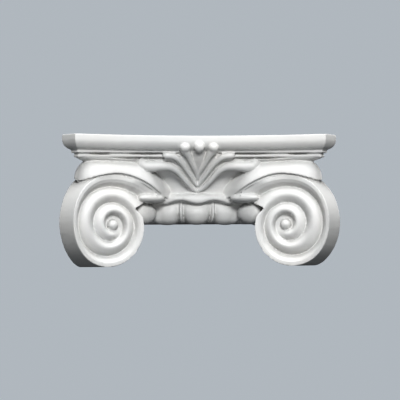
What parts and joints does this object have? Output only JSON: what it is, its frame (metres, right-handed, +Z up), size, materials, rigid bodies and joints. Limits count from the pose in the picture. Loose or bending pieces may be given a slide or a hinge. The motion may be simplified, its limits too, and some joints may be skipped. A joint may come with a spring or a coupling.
{
  "type": "half ionic capital",
  "caption": "Applied ionic capital with diagonal volutes, lobed echinus and palmette under a hollow-sided abacus, flat at the back to sit on a half column against a wall.",
  "frame": {"origin": "on the flat back, in the wall plane at the column's axis, 125 mm above the lowest point of the volutes", "axes": "+Z up, the front faces -Y, +Y into the wall, +X to the right across the front"},
  "size_m": [0.3996, 0.1998, 0.1871],
  "materials": {
    "plaster": "smooth white cast gypsum plaster, matt, with fine pores and softly rounded edges"
  },
  "bodies": {
    "root": {"capital": "plaster"}
  },
  "joints": []
}
